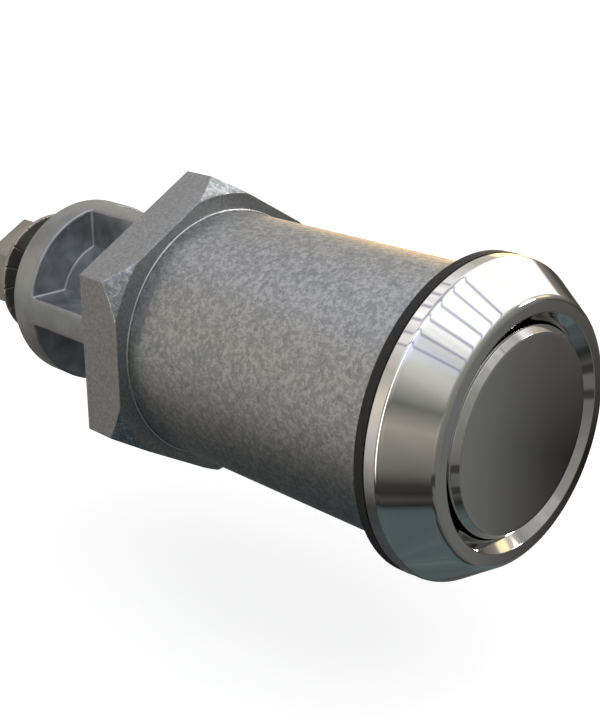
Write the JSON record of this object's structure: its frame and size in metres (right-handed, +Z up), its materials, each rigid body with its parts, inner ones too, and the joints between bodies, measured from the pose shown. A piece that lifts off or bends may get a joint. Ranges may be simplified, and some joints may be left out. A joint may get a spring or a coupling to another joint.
{
  "type": "quarter-turn latch",
  "caption": "Flush quarter-turn latch with a pop-out round knob, chromed head and gasket, smooth barrel with hexagon nut, ribbed rotor and square cam seat with flange screw.",
  "frame": {"origin": "on the latch axis, in the plane where the gasket's rear face meets the panel", "axes": "+Y along the latch axis from the head to the cam, so the knob faces -Y; +Z up, with a corner of the nut upwards; +X to the user's right"},
  "size_m": [0.0228, 0.0579, 0.0254],
  "materials": {
    "chrome_trim": "polished chrome plate on a zinc casting",
    "rubber_black": "matt black rubber",
    "zinc_spangled": "zinc casting with a mottled, galvanised skin",
    "zinc_nut": "galvanised steel, fine mottling",
    "zinc_cast": "smooth zinc casting",
    "screw_zinc": "zinc plated steel",
    "acetal_black": "black acetal",
    "acetal_white": "natural acetal",
    "steel_plain": "plain steel",
    "spring_steel": "spring steel wire"
  },
  "bodies": {
    "housing": {"bezel": "chrome_trim", "panel_gasket": "rubber_black", "barrel": "zinc_spangled", "mounting_nut": "zinc_nut", "guide_bush": "acetal_black", "knob_seal": "rubber_black", "stop_pin": "steel_plain", "slip_washer": "acetal_black"},
    "rotor": {"rotor": "zinc_cast", "rotor_seal": "rubber_black", "retaining_ring": "spring_steel", "guide_cover": "steel_plain", "catch_sleeve": "acetal_white", "spring_seat": "steel_plain", "pop_spring": "spring_steel", "detent_spring": "spring_steel", "detent_ball": "steel_plain", "cam_screw": "screw_zinc"},
    "knob": {"knob_cap": "chrome_trim", "knob_shell": "chrome_trim", "knob_screw": "steel_plain", "knob_stem": "steel_plain", "push_washer": "steel_plain"},
    "index_ring": {"index_ring": "acetal_white"}
  },
  "joints": [
    {"name": "rotor_turn", "type": "hinge", "parent": "housing", "child": "rotor", "pos_m": [0, 0, 0], "axis": [0, 1, 0], "range_deg": [0, 90]},
    {"name": "knob_slide", "type": "slide", "parent": "rotor", "child": "knob", "axis": [0, -1, 0], "range_m": [-0.0012, 0.008], "deforming": ["pop_spring"]},
    {"name": "index_turn", "type": "hinge", "parent": "knob", "child": "index_ring", "pos_m": [0, 0, 0], "axis": [0, 1, 0], "range_deg": [0, 45]}
  ]
}
